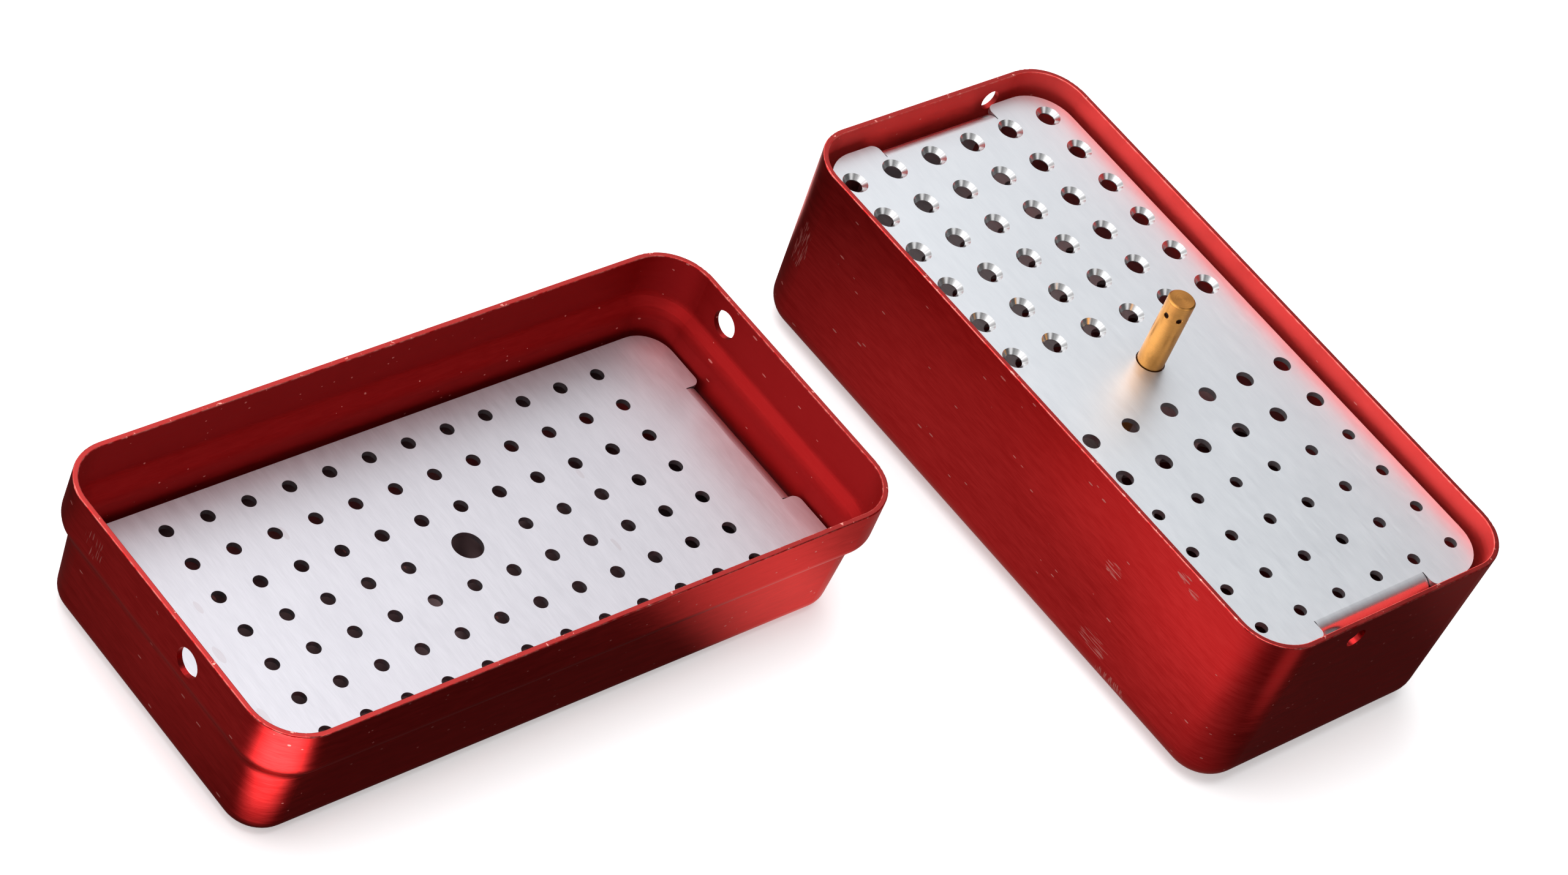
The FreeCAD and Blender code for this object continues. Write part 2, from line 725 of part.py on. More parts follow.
# Lid shell, closed end down: a leaning body, a joggle outwards, and an upright skirt that covers the base's rim
lid_shell = new_body("lid_shell")
sketch = new_sketch(lid_shell, "lid_body_outline", "XY_Plane", lid_body_height)
body_corner_radius = "(skirt_corner_radius - joggle_step)"
rounded_rectangle(sketch, lid_body_half_width, lid_body_half_length, body_corner_radius)
blank = pad(lid_shell, "lid_body_blank", sketch, lid_body_height, downwards=True)
joint_height = value_of(lid_body_height)
joint_face = faces_where(blank.Shape, lambda box: near(box.ZMin, joint_height))
walls = faces_where(blank.Shape, lambda box: near(box.ZLength, joint_height))
draft_walls(lid_shell, "lid_body_lean", blank, walls, "lid_draft", (blank, joint_face))
blank = pad(lid_shell, "lid_joggle_blank", sketch, "joggle_height")
skirt_foot = value_of("lid_height - skirt_height")
joggle_walls = faces_where(
    blank.Shape, lambda box: near(box.ZMin, joint_height) and near(box.ZMax, skirt_foot) and box.ZLength > 1
)
joint_plane = lid_shell.newObject("PartDesign::Plane", "lid_joint_plane")
joint_plane.AttachmentSupport = [(origin_part(lid_shell, "XY_Plane"), "")]
joint_plane.MapMode = "FlatFace"
bind(joint_plane, "AttachmentOffset.Base.z", lid_body_height)
doc.recompute()
slope = draft_walls(
    lid_shell,
    "lid_joggle_lean",
    blank,
    joggle_walls,
    "atan(joggle_step / joggle_height)",
    (joint_plane, [""]),
)
sketch = new_sketch(lid_shell, "lid_skirt_outline", "XY_Plane", "lid_height - skirt_height")
rounded_rectangle(sketch, skirt_half_width, skirt_half_length, "skirt_corner_radius")
skirt = pad(lid_shell, "lid_skirt_blank", sketch, "skirt_height")
joggle_edges = edges_where(
    skirt.Shape,
    lambda box: near(box.ZLength, 0) and (near(box.ZMin, joint_height) or near(box.ZMin, skirt_foot)),
)
smooth = round_edges(lid_shell, "lid_joggle_bends", skirt, joggle_edges, "joggle_radius")
closed_face = faces_where(smooth.Shape, lambda box: near(box.ZMax, 0))
rounded = round_edges(lid_shell, "lid_closed_edge", smooth, closed_face, "lid_closed_radius")
top = value_of("lid_height")
rim_face = faces_where(rounded.Shape, lambda box: near(box.ZMin, top))
shell = hollow(lid_shell, "lid_hollow", rounded, rim_face, "lid_wall")
rim_edges = edges_where(shell.Shape, lambda box: near(box.ZMin, top))
round_edges(lid_shell, "lid_rim_edge", shell, rim_edges, "rim_rounding")
vent_height = "(lid_height - lid_vent_below_rim)"
vent(lid_shell, "lid_near_vent", "-near_vent_offset", vent_height, "lid_vent_diameter", True)
vent(lid_shell, "lid_far_vent", "far_vent_offset", vent_height, "lid_vent_diameter", False)

# Lid plate: stands on the lid's closed end and holds the instruments down when the box is shut
lid_plate = new_body("lid_plate")
lid_bend_start = "(%s - sheet_bend_radius)" % lid_leg_face
flat = end_notched_plate(
    lid_plate,
    "lid_plate_flat",
    lid_plate_half_width,
    lid_plate_half_length,
    lid_bend_start,
    "leg_width / 2",
    "leg_relief",
    lid_plate_top,
)
rounded = round_edges(
    lid_plate,
    "lid_plate_corners",
    flat,
    corner_edges(flat.Shape, lid_plate_half_width, lid_plate_half_length),
    "lid_plate_corner_radius",
)
round_edges(
    lid_plate,
    "lid_plate_shoulders",
    rounded,
    corner_edges(rounded.Shape, leg_shoulder, lid_plate_half_length),
    "leg_shoulder_radius",
)
bent_legs(
    lid_plate,
    "lid_plate_leg",
    lid_leg_face,
    lid_bend_start,
    lid_plate_top,
    "(lid_wall + floor_gap)",
    lid_foot_radius,
)
sketch = new_sketch(lid_plate, "lid_side_place", "XY_Plane", lid_plate_top)
circle_at(sketch, lid_row_pitch, "-" + lid_first_column, "lid_hole_bore / 2")
bore = punch(lid_plate, "lid_side_hole", sketch)
grid(
    lid_plate,
    "lid_right_holes",
    bore,
    sketch,
    lid_row_pitch,
    "lid_side_rows",
    lid_column_pitch,
    "lid_column_count",
)
sketch = new_sketch(lid_plate, "lid_left_place", "XY_Plane", lid_plate_top)
left_row = "-%s * lid_side_rows" % lid_row_pitch
circle_at(sketch, left_row, "-" + lid_first_column, "lid_hole_bore / 2")
bore = punch(lid_plate, "lid_left_hole", sketch)
grid(
    lid_plate,
    "lid_left_holes",
    bore,
    sketch,
    lid_row_pitch,
    "lid_side_rows",
    lid_column_pitch,
    "lid_column_count",
)


def middle_row(name, start):
    """The middle row of lid holes on one side of the post's hole; the two next to the post are left out."""
    sketch = new_sketch(lid_plate, name + "_place", "XY_Plane", lid_plate_top)
    circle_at(sketch, "0", start, "lid_hole_bore / 2")
    bore = punch(lid_plate, name + "_hole", sketch)
    row = lid_plate.newObject("PartDesign::LinearPattern", name + "_holes")
    row.Originals = [bore]
    row.Direction = (sketch, ["V_Axis"])
    bind(row, "Length", "%s * (%s - 1)" % (lid_column_pitch, lid_middle_columns))
    bind(row, "Occurrences", lid_middle_columns)
    lid_plate.Tip = row
    doc.recompute()


middle_row("lid_middle_near", "-" + lid_first_column)
middle_row("lid_middle_far", "(%s * 3 / 2)" % lid_column_pitch)
sketch = new_sketch(lid_plate, "lid_post_place", "XY_Plane", lid_plate_top)
circle_at(sketch, "0", "0", "(post_diameter / 2 + lid_post_hole_gap)")
punch(lid_plate, "lid_post_hole", sketch)

# Where the pieces stand: the rack's pieces are drawn in place, the lid lies on its closed end beside the base
for piece in (base_shell, file_plate, guide_plate, lifting_post, post_washer, post_nut):
    piece.Placement = Placement(Vector(0, 0, 0), Rotation())
for piece in (lid_shell, lid_plate):
    piece.Placement = Placement(Vector(0, 0, 0), Rotation(Vector(0, 0, 1), 90))
    bind(piece, "Placement.Base.x", "-(base_width / 2 + lid_beside_base + %s)" % skirt_half_length)
    bind(piece, "Placement.Base.y", "lid_towards_far_end")
doc.recompute()

# Every feature is sound, and every piece is one closed solid, before anything is written
for item in doc.Objects:
    if "Invalid" in item.State or "Error" in item.State:
        raise RuntimeError("%s is %s" % (item.Name, item.State))
pieces = (
    base_shell,
    file_plate,
    guide_plate,
    lifting_post,
    post_washer,
    post_nut,
    lid_shell,
    lid_plate,
)
for piece in pieces:
    if piece.Shape.isNull() or not piece.Shape.isValid() or len(piece.Shape.Solids) != 1:
        raise RuntimeError(piece.Label + " isn't one sound solid")
for piece in pieces:
    piece.Shape.exportStep("parts/%s.step" % piece.Label)
    box = piece.Shape.BoundBox
    print(
        "%s: %.1f x %.1f x %.1f mm, %.0f cubic mm"
        % (piece.Label, box.XLength, box.YLength, box.ZLength, piece.Shape.Volume)
    )
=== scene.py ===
import json
import math
from collections import namedtuple

import bmesh
import bpy
from mathutils import Matrix, Vector

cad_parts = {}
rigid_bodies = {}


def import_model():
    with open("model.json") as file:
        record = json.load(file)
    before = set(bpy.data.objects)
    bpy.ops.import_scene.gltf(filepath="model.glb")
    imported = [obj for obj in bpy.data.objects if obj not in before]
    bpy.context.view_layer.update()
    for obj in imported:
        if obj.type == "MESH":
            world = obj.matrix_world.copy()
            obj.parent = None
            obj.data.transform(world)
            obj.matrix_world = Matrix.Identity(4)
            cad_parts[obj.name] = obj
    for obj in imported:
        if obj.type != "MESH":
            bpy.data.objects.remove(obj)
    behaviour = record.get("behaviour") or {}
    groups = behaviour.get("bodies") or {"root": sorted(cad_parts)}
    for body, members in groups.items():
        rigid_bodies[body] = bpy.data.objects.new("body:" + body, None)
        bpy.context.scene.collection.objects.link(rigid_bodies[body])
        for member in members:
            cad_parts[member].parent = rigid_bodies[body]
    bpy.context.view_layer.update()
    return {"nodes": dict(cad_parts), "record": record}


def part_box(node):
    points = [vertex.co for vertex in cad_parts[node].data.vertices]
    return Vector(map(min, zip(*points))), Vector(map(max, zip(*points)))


for leftover in list(bpy.data.objects):
    bpy.data.objects.remove(leftover)

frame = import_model()
parts = frame["nodes"]

# The base is a deep tray pressed from one aluminium sheet, with rounded
# corners and walls that lean in towards the floor. It is brushed level round
# the outside and left matt inside, then the whole tray is dyed red and sealed.
tray_low, tray_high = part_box("base_shell")
red_dye = (0.76, 0.034, 0.034, 1.0)
deep_red_dye = (0.60, 0.016, 0.017, 1.0)
rim_red = (0.40, 0.036, 0.034, 1.0)
# The vent bores are painted dark red as painted shade.
vent_shade_red = (0.17, 0.010, 0.011, 1.0)
# Paler metal on the rim's rounded edges: partly bare-metal wear, partly a painted highlight.
bare_edge_and_highlight = (0.92, 0.36, 0.31, 1.0)
scuff_pink = (0.95, 0.40, 0.36, 1.0)
red_gloss = (1.0, 0.65, 0.62, 1.0)
unturned = (0.0, 0.0, 0.0)
shell_turn = (math.radians(16), 0.0, 0.0)
brush_spacing = 0.00014
brush_length = 0.0028
band_along = 0.4
band_across = 0.14
cloud_scale = (60.0, 60.0, 60.0)
rim_grain_scale = (800.0, 800.0, 800.0)
rim_rounding = 0.0002
end_depth = 0.003
vent_below_rim = 0.005
vent_reach = 0.0035
inside_limit = -0.001
deep_fade = 0.005
inner_matt = 0.22
fleck_scale = (1600.0, 600.0, 2100.0)
rub_softness = 0.12
shell_relief = 0.00003


def put(tree, kind, sockets=None, **settings):
    """Adds a shader node and fills its sockets with numbers or with links."""
    made = tree.nodes.new(kind)
    for name, value in settings.items():
        setattr(made, name, value)
    for socket, value in (sockets or {}).items():
        if isinstance(value, bpy.types.NodeSocket):
            tree.links.new(value, made.inputs[socket])
        else:
            made.inputs[socket].default_value = value
    return made


def calc(tree, operation, *values):
    """The result of one Math node."""
    return put(tree, "ShaderNodeMath", dict(enumerate(values)), operation=operation).outputs[0]


def point_calc(tree, operation, *values):
    """The results of one Vector Math node: a point under 0, a number under Value."""
    return put(tree, "ShaderNodeVectorMath", dict(enumerate(values)), operation=operation).outputs


def split(tree, point):
    """The X, Y and Z of a point or a direction."""
    return put(tree, "ShaderNodeSeparateXYZ", {"Vector": point}).outputs


def facing(tree):
    """The way the surface faces, in the object's own directions."""
    return put(tree, "ShaderNodeTexCoord").outputs["Normal"]


def fade(tree, value, low, high, start=0.0, end=1.0):
    """Turns a value smoothly from start to end between low and high."""
    sockets = {"Value": value, "From Min": low, "From Max": high, "To Min": start, "To Max": end}
    made = put(tree, "ShaderNodeMapRange", sockets, interpolation_type="SMOOTHSTEP", clamp=True)
    return made.outputs["Result"]


def mix(tree, amount, one, other, kind="Color"):
    """Goes from one colour, or one number where kind is Float, to the other."""
    data_type = "RGBA" if kind == "Color" else "FLOAT"
    made = put(tree, "ShaderNodeMix", data_type=data_type, clamp_factor=True)
    inputs = {socket.identifier: socket for socket in made.inputs}
    for identifier, value in (("Factor_Float", amount), ("A_" + kind, one), ("B_" + kind, other)):
        if isinstance(value, bpy.types.NodeSocket):
            tree.links.new(value, inputs[identifier])
        else:
            inputs[identifier].default_value = value
    return next(socket for socket in made.outputs if socket.identifier == "Result_" + kind)


def turned_point(tree, point, turn, stretch):
    """A point stretched along the axes and then turned, where each turn gives another pattern."""
    sockets = {"Vector": point, "Rotation": turn, "Scale": stretch}
    return put(tree, "ShaderNodeMapping", sockets, vector_type="POINT").outputs[0]


def grain(tree, point, turn, stretch, detail=2.0):
    """Noise from 0 to 1, finest along the axis with the largest stretch."""
    sockets = {"Vector": turned_point(tree, point, turn, stretch), "Scale": 1.0,
               "Detail": detail, "Roughness": 0.6}
    return put(tree, "ShaderNodeTexNoise", sockets).outputs["Fac"]


def flecks(tree, point, turn, stretch, share, reach):
    """Sparse small marks: the middles of a few Voronoi cells."""
    sockets = {"Vector": turned_point(tree, point, turn, stretch), "Scale": 1.0}
    cells = put(tree, "ShaderNodeTexVoronoi", sockets, feature="F1")
    cell = put(tree, "ShaderNodeSeparateColor", {"Color": cells.outputs["Color"]})
    chosen = calc(tree, "LESS_THAN", cell.outputs[0], share)
    size = calc(tree, "MULTIPLY", cell.outputs[1], reach)
    in_mark = calc(tree, "LESS_THAN", cells.outputs["Distance"], size)
    return calc(tree, "MULTIPLY", chosen, in_mark)


def patch(tree, point, centre, size):
    """A soft round area about a place on the object, 1 in its middle and 0 outside."""
    offset = point_calc(tree, "SUBTRACT", point, centre)[0]
    scaled = point_calc(tree, "DIVIDE", offset, size)[0]
    distance = point_calc(tree, "LENGTH", scaled)["Value"]
    return fade(tree, distance, 0.35, 1.0, 1.0, 0.0)


def start(name):
    """A new material with its Principled shader and the point's place on the object."""
    material = bpy.data.materials.new(name)
    material.use_nodes = True
    tree = material.node_tree
    shader = tree.nodes["Principled BSDF"]
    where = put(tree, "ShaderNodeTexCoord").outputs["Object"]
    return material, tree, shader, where


def surface(tree, shader, colour, rough, relief, metallic=1.0):
    """Gives the shader its colour, its roughness and its relief of height, strength and depth."""
    height, strength, depth = relief
    bump = put(tree, "ShaderNodeBump", {"Height": height, "Strength": strength, "Distance": depth})
    shader.inputs["Metallic"].default_value = metallic
    tree.links.new(colour, shader.inputs["Base Color"])
    tree.links.new(rough, shader.inputs["Roughness"])
    tree.links.new(bump.outputs["Normal"], shader.inputs["Normal"])


def dress(node, material):
    """Gives a carried-over part its finish."""
    for slot in parts[node].material_slots:
        slot.material = material


def brushed_dye(tree, where):
    """The fine brush lines, their shade with the broad bands, soft clouds, and the dye's colour."""
    along = 1.0 / brush_length
    across = 1.0 / brush_spacing
    lines = grain(tree, where, shell_turn, (along, along, across))
    broad = (along * band_along, along * band_along, across * band_across)
    bands = grain(tree, where, shell_turn, broad)
    cloud = grain(tree, where, unturned, cloud_scale, 3.0)
    shade = calc(tree, "MULTIPLY_ADD", lines, 0.6, calc(tree, "MULTIPLY", bands, 0.4))
    dyed = mix(tree, fade(tree, shade, 0.32, 0.68), deep_red_dye, red_dye)
    dyed = mix(tree, fade(tree, cloud, 0.35, 0.75, 0.0, 0.25), dyed, deep_red_dye)
    return lines, shade, cloud, dyed


def inner_faces(tree, where, low, high, unshaded_depth):
    """Masks of the shell's inner faces, and of where painted shade goes: the floor and the inner
    faces deep below the rim.
    """
    height = split(tree, where)["Z"]
    offset = point_calc(tree, "SUBTRACT", where, (low + high) / 2)[0]
    level_offset = point_calc(tree, "MULTIPLY", offset, (1.0, 1.0, 0.0))[0]
    outward = point_calc(tree, "DOT_PRODUCT", level_offset, facing(tree))["Value"]
    inside = calc(tree, "LESS_THAN", outward, inside_limit)
    faces_up = calc(tree, "GREATER_THAN", split(tree, facing(tree))["Z"], 0.9)
    on_floor = calc(tree, "MULTIPLY", faces_up, calc(tree, "LESS_THAN", height, (low.z + high.z) / 2))
    unshaded_above = high.z - unshaded_depth
    below = fade(tree, height, unshaded_above - deep_fade, unshaded_above, 1.0, 0.0)
    deep = calc(tree, "MAXIMUM", on_floor, calc(tree, "MULTIPLY", inside, below))
    return inside, deep


def vent_bores(tree, where, low, high):
    """Mask of the bores of the round vents, which lie near the rim in both end walls, where painted
    shade goes.
    """
    place = split(tree, where)
    size = high - low
    axis = 1 if size.y > size.x else 0
    from_middle = calc(tree, "SUBTRACT", place[axis], (low[axis] + high[axis]) / 2)
    in_end_wall = calc(tree, "GREATER_THAN", calc(tree, "ABSOLUTE", from_middle),
                       size[axis] / 2 - end_depth)
    faces_sideways = calc(tree, "COMPARE", split(tree, facing(tree))[axis], 0.0, 0.5)
    by_the_vent = calc(tree, "COMPARE", place["Z"], high.z - vent_below_rim, vent_reach)
    return calc(tree, "MULTIPLY", calc(tree, "MULTIPLY", in_end_wall, faces_sideways), by_the_vent)


def rim_wear_and_highlight(tree, where, dyed, high):
    """Darker dye on the flat of the rim, bare metal in its nicks, and paler metal along its rounded
    edges that is partly wear and partly a painted highlight.
    """
    height = split(tree, where)["Z"]
    at_rim = fade(tree, height, high.z - rim_rounding * 1.3, high.z - rim_rounding * 0.8)
    flat = calc(tree, "MULTIPLY", at_rim, fade(tree, split(tree, facing(tree))["Z"], 0.90, 0.98))
    rim_grain = grain(tree, where, unturned, rim_grain_scale, 3.0)
    # The rounded edges are paled in grainy streaks, partly as wear and partly as a painted highlight.
    edge = calc(tree, "MULTIPLY", calc(tree, "SUBTRACT", at_rim, flat),
                fade(tree, rim_grain, 0.35, 0.68, 0.0, 0.45))
    nicks = calc(tree, "MULTIPLY", at_rim, fade(tree, rim_grain, 0.66, 0.70))
    with_rim = mix(tree, flat, dyed, rim_red)
    return mix(tree, calc(tree, "MAXIMUM", edge, nicks), with_rim, bare_edge_and_highlight)


def wear_marks(tree, where, scuffs):
    """Flecks all over the shell, and streaks in the few places where it was knocked."""
    wear = flecks(tree, where, shell_turn, fleck_scale, 0.020, 0.42)
    for scuff in scuffs:
        near = patch(tree, where, scuff.centre, scuff.size)
        streaks = grain(tree, where, (scuff.turn, 0.0, 0.0), scuff.stretch, 1.0)
        streaks = calc(tree, "MULTIPLY_ADD", near, 0.6, streaks)
        rubbed = fade(tree, streaks, scuff.threshold, scuff.threshold + rub_softness, 0.0, 0.8)
        wear = calc(tree, "MAXIMUM", wear, rubbed)
    return wear


def red_finish(name, low, high, inner_painted_tone, deep_shade_tone, unshaded_depth, scuffs):
    """Dyed aluminium, brushed outside and matt inside, with painted light and shade on the inner
    faces, painted shade deep inside and in the vent bores, a worn rim with a painted highlight on its
    edges, and small scuffs.
    """
    material, tree, shader, where = start(name)
    lines, shade, cloud, dyed = brushed_dye(tree, where)
    inside, deep = inner_faces(tree, where, low, high, unshaded_depth)
    in_vent = vent_bores(tree, where, low, high)
    # The inner faces take a painted tone: painted light inside the tray, painted shade inside the
    # lid.
    dyed = mix(tree, calc(tree, "MULTIPLY", inside, 0.7), dyed, inner_painted_tone)
    # The floor and the inner faces deep below the rim are painted darker: painted shade.
    dyed = mix(tree, calc(tree, "MULTIPLY", deep, 0.85), dyed, deep_shade_tone)
    # The vent bores are painted darker: painted shade in these recesses.
    dyed = mix(tree, calc(tree, "MULTIPLY", in_vent, 0.7), dyed, vent_shade_red)
    with_rim = rim_wear_and_highlight(tree, where, dyed, high)
    wear = wear_marks(tree, where, scuffs)
    coloured = mix(tree, calc(tree, "MULTIPLY", wear, 0.70), with_rim, scuff_pink)
    rough = fade(tree, shade, 0.3, 0.7, 0.26, 0.36)
    rough = calc(tree, "MULTIPLY_ADD", cloud, 0.05, rough)
    rough = calc(tree, "MULTIPLY_ADD", inside, inner_matt, rough)
    rough = calc(tree, "MULTIPLY_ADD", wear, 0.2, rough)
    height = calc(tree, "MULTIPLY_ADD", wear, -2.0, lines)
    surface(tree, shader, coloured, rough, (height, 0.22, shell_relief))
    shader.inputs["Specular Tint"].default_value = red_gloss
    return material


Scuff = namedtuple("Scuff", "centre size turn stretch threshold")
far_scratches = Scuff((-0.0300, 0.0563, 0.0200), (0.0060, 0.0036, 0.0100), 0.30,
                      (3600.0, 3600.0, 420.0), 1.08)
near_chip = Scuff((-0.0306, -0.0416, 0.0362), (0.0060, 0.0032, 0.0020), 0.45,
                  (900.0, 420.0, 3600.0), 1.04)
chip_tail = Scuff((-0.0306, -0.0450, 0.0348), (0.0060, 0.0028, 0.0013), 0.45,
                  (900.0, 420.0, 3600.0), 1.04)
floor_scrape = Scuff((-0.0290, -0.0378, 0.0036), (0.0080, 0.0080, 0.0026), 1.2,
                     (700.0, 3200.0, 380.0), 1.08)
low_scratches = Scuff((-0.0290, -0.0315, 0.0076), (0.0080, 0.0070, 0.0038), 0.45,
                      (400.0, 240.0, 3600.0), 1.11)
wall_scratches = Scuff((-0.0300, -0.0290, 0.0241), (0.0080, 0.0040, 0.0030), 1.1,
                       (500.0, 260.0, 3600.0), 1.10)
tray_scuffs = (far_scratches, near_chip, chip_tail, floor_scrape, low_scratches, wall_scratches)
# The tray's inner faces are painted a brighter, pinker red as painted light.
tray_inner_painted_light = (0.95, 0.095, 0.085, 1.0)
# The tray's floor and deep inner faces are painted a dull dark red as painted shade.
tray_deep_shade = (0.37, 0.15, 0.15, 1.0)
tray_unshaded_depth = 0.0075
tray_red = red_finish("tray_red_anodised", tray_low, tray_high, tray_inner_painted_light, tray_deep_shade,
                      tray_unshaded_depth, tray_scuffs)
dress("base_shell", tray_red)

# The lid is pressed from the same sheet, with a wider skirt at its rim that
# slides over the base. It lies open side up, dyed the same red, with less wear.
lid_low, lid_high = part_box("lid_shell")
skirt_nick = Scuff((-0.1885, 0.0450, 0.0230), (0.0040, 0.0060, 0.0050), 0.20,
                   (3000.0, 3000.0, 400.0), 1.16)
# The lid's inner faces are painted a darker red as painted shade.
lid_inner_painted_shade = (0.34, 0.012, 0.013, 1.0)
# The lid's floor and deep inner faces are painted grey as painted shade.
lid_deep_shade = (0.34, 0.29, 0.30, 1.0)
lid_unshaded_depth = 0.017
lid_red = red_finish("lid_red_anodised", lid_low, lid_high, lid_inner_painted_shade, lid_deep_shade,
                     lid_unshaded_depth, (skirt_nick,))
dress("lid_shell", lid_red)

# The file plate is bare rolled aluminium, satin from brushing lengthwise. Its
# holes are punched and its seats cut, which leaves their edges brighter.
plate_grey = (0.690, 0.715, 0.755, 1.0)
plate_pale = (0.730, 0.755, 0.79, 1.0)
cut_bright = (0.90, 0.90, 0.91, 1.0)
pen_grey = (0.42, 0.36, 0.38, 1.0)
# Upright faces, the bent legs and the hole bores, are painted darker as painted shade.
side_shade_grey = (0.24, 0.225, 0.22, 1.0)
sheet_line_scale = (6200.0, 320.0, 320.0)
sheet_band_scale = (800.0, 120.0, 120.0)
stain_turn = (0.3, 0.2, 0.0)
stain_scale = (38.0, 38.0, 38.0)
dot_turn = (0.0, 0.0, 0.6)
dot_scale = (420.0, 160.0, 200.0)
sheet_relief = 0.00002


def sheet_finish(name, turn, cut_share, grey, pale, metallic=1.0):
    """Satin sheet: fine brushing, soft stains, painted shade on upright sides and hole bores, bright
    slanted cuts and a few pen dots.
    """
    material, tree, shader, where = start(name)
    lines = grain(tree, where, turn, sheet_line_scale)
    bands = grain(tree, where, turn, sheet_band_scale)
    stain = grain(tree, where, stain_turn, stain_scale, 4.0)
    shade = calc(tree, "MULTIPLY_ADD", lines, 0.6, calc(tree, "MULTIPLY", bands, 0.4))
    colour = mix(tree, fade(tree, shade, 0.3, 0.7), grey, pale)
    colour = mix(tree, fade(tree, stain, 0.52, 0.75, 0.0, 0.22), colour, grey)
    level = calc(tree, "ABSOLUTE", split(tree, facing(tree))["Z"])
    slanted = calc(tree, "MULTIPLY", fade(tree, level, 0.40, 0.60),
                   fade(tree, level, 0.80, 0.95, 1.0, 0.0))
    cut = calc(tree, "MULTIPLY", slanted, cut_share)
    # Upright faces are painted darker grey: painted shade on the legs and hole bores.
    colour = mix(tree, fade(tree, level, 0.05, 0.30, 0.3, 0.0), colour, side_shade_grey)
    colour = mix(tree, cut, colour, cut_bright)
    dots = flecks(tree, where, dot_turn, dot_scale, 0.02, 0.35)
    colour = mix(tree, calc(tree, "MULTIPLY", dots, 0.35), colour, pen_grey)
    rough = fade(tree, shade, 0.3, 0.7, 0.39, 0.43)
    rough = calc(tree, "MULTIPLY_ADD", stain, 0.05, rough)
    rough = calc(tree, "MULTIPLY_ADD", cut, -0.20, rough)
    surface(tree, shader, colour, rough, (lines, 0.06, sheet_relief), metallic)
    return material


file_sheet = sheet_finish("file_plate_satin", unturned, 1.0, plate_grey, plate_pale)
dress("file_plate", file_sheet)

# The file plate's seats are cones cut by a countersink, each turned smooth
# round its own axis, with faint marks that run down it where the cutter grabbed.
seats = next(mount for mount in frame["record"]["mounts"] if mount["name"] == "seat_holes")
seat_steps = 5
seat_step_x = seats["dims"]["spacing_x_mm"] / 1000 / seat_steps
seat_step_y = seats["dims"]["spacing_y_mm"] / 1000 / seat_steps
seat_last_row = seats["pos_m"][1] + seat_step_y * seat_steps / 2
seat_reach = 0.0026
seat_lean = math.sin(math.radians(45))
seat_mark = (0.50, 0.50, 0.51, 1.0)
chatter_scale = (5.0, 5.0, 1.0)


def turn_seats(material):
    """Shades each seat as the cone that it is, and marks it from its edge to its bore."""
    tree = material.node_tree
    shader = tree.nodes["Principled BSDF"]
    brushed = shader.inputs["Normal"].links[0].from_socket
    colour = shader.inputs["Base Color"].links[0].from_socket
    place = split(tree, put(tree, "ShaderNodeTexCoord").outputs["Object"])
    seat_x = calc(tree, "WRAP", calc(tree, "SUBTRACT", place["X"], seat_step_x / 2),
                  seat_step_x / 2, -seat_step_x / 2)
    seat_y = calc(tree, "WRAP", calc(tree, "SUBTRACT", place["Y"], seat_last_row),
                  seat_step_y / 2, -seat_step_y / 2)
    from_axis = put(tree, "ShaderNodeCombineXYZ", {"X": seat_x, "Y": seat_y}).outputs[0]
    radius = point_calc(tree, "LENGTH", from_axis)["Value"]
    inward = point_calc(tree, "MULTIPLY", from_axis, (-1.0, -1.0, -1.0))[0]
    upward = put(tree, "ShaderNodeCombineXYZ", {"Z": radius}).outputs[0]
    cone = point_calc(tree, "NORMALIZE", point_calc(tree, "ADD", inward, upward)[0])[0]
    on_seat = calc(tree, "COMPARE", split(tree, facing(tree))["Z"], seat_lean, 0.12)
    on_seat = calc(tree, "MULTIPLY", on_seat, calc(tree, "LESS_THAN", radius, seat_reach))
    on_seat = calc(tree, "MULTIPLY", on_seat, calc(tree, "GREATER_THAN", place["Y"], 0.0))
    on_seat = calc(tree, "MULTIPLY", on_seat,
                   calc(tree, "LESS_THAN", place["Y"], seat_last_row + seat_reach))
    marks = fade(tree, grain(tree, cone, unturned, chatter_scale, 3.0), 0.40, 0.62, 0.0, 0.6)
    colour = mix(tree, calc(tree, "MULTIPLY", on_seat, marks), colour, seat_mark)
    tree.links.new(mix(tree, on_seat, brushed, cone), shader.inputs["Normal"])
    tree.links.new(colour, shader.inputs["Base Color"])


turn_seats(file_sheet)

# The guide plate under it is the same sheet, flat, with plain drilled holes.
# It lines each file up below its seat, is seen mostly through the holes, and
# has dulled in the steriliser.
guide_grey = (0.50, 0.49, 0.50, 1.0)
guide_pale = (0.60, 0.59, 0.60, 1.0)
guide_sheet = sheet_finish("guide_plate_dull", unturned, 0.3, guide_grey, guide_pale, metallic=0.0)
dress("guide_plate", guide_sheet)

# The lid's own plate is the same sheet again, brushed across the lid, with small
# punched holes. It holds the files down when the box is shut.
lid_sheet_turn = (0.0, 0.0, math.pi / 2)
lid_grey = (0.50, 0.49, 0.53, 1.0)
lid_pale = (0.56, 0.55, 0.59, 1.0)
lid_sheet = sheet_finish("lid_plate_satin", lid_sheet_turn, 0.5, lid_grey, lid_pale)
dress("lid_plate", lid_sheet)

# The lifting post is turned from brass bar. The lathe leaves fine rings round
# it and circles on its end, and near its top it has a ring of small dimples.
post_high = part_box("lifting_post")[1]
post_top = post_high.z
post_radius = post_high.x
brass = (0.93, 0.385, 0.09, 1.0)
pale_brass = (0.97, 0.48, 0.13, 1.0)
# Brown tarnish on the brass, also used as painted shade on the end face and towards the foot.
tarnish_and_shade = (0.30, 0.12, 0.03, 1.0)
